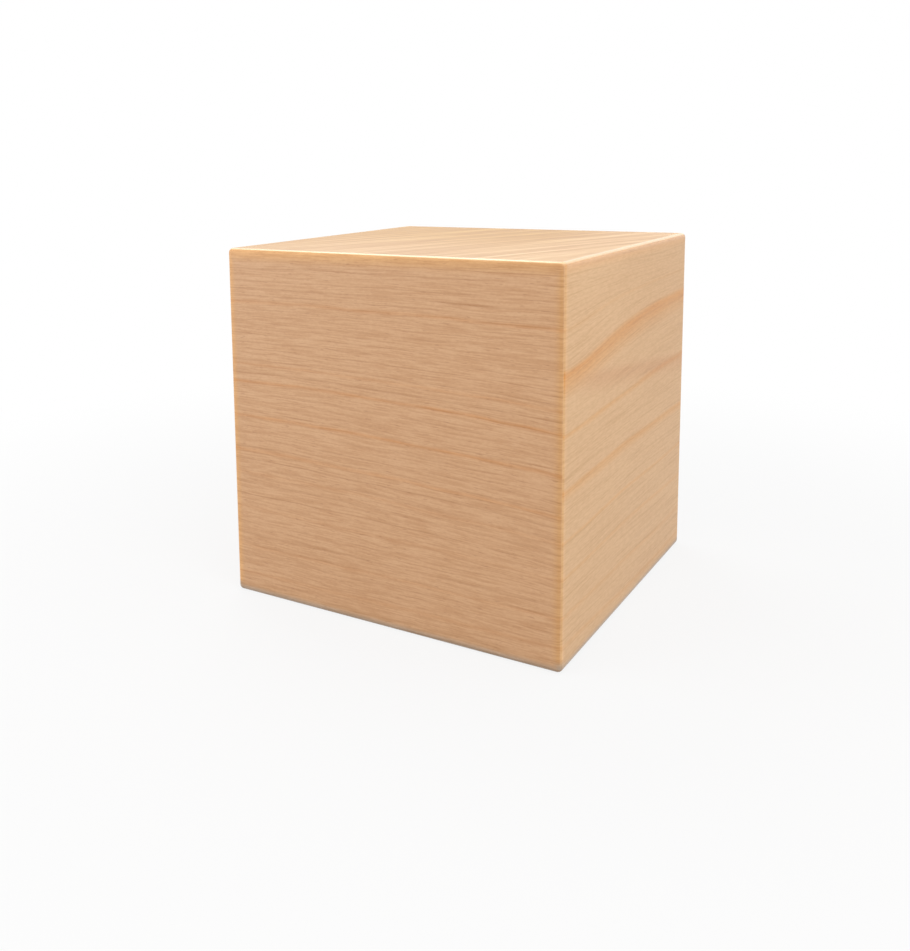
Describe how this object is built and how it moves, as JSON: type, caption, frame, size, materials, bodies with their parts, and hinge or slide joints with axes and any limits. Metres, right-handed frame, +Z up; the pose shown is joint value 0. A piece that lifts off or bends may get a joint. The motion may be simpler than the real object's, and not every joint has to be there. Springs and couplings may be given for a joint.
{
  "type": "wooden cube",
  "caption": "Solid cube of light hardwood with flat sanded faces and lightly rounded edges and corners, which stands, stacks or lies on any face.",
  "frame": {"origin": "centre of the bottom face, on the plane that the block stands on", "axes": "+Z up through the top face; +X through the right face; +Y through the back face, along the fibres of the wood, so the front face towards -Y is end grain"},
  "size_m": [0.075, 0.075, 0.075],
  "materials": {
    "wood": "satin"
  },
  "bodies": {
    "root": {"wooden_cube": "wood"}
  },
  "joints": []
}
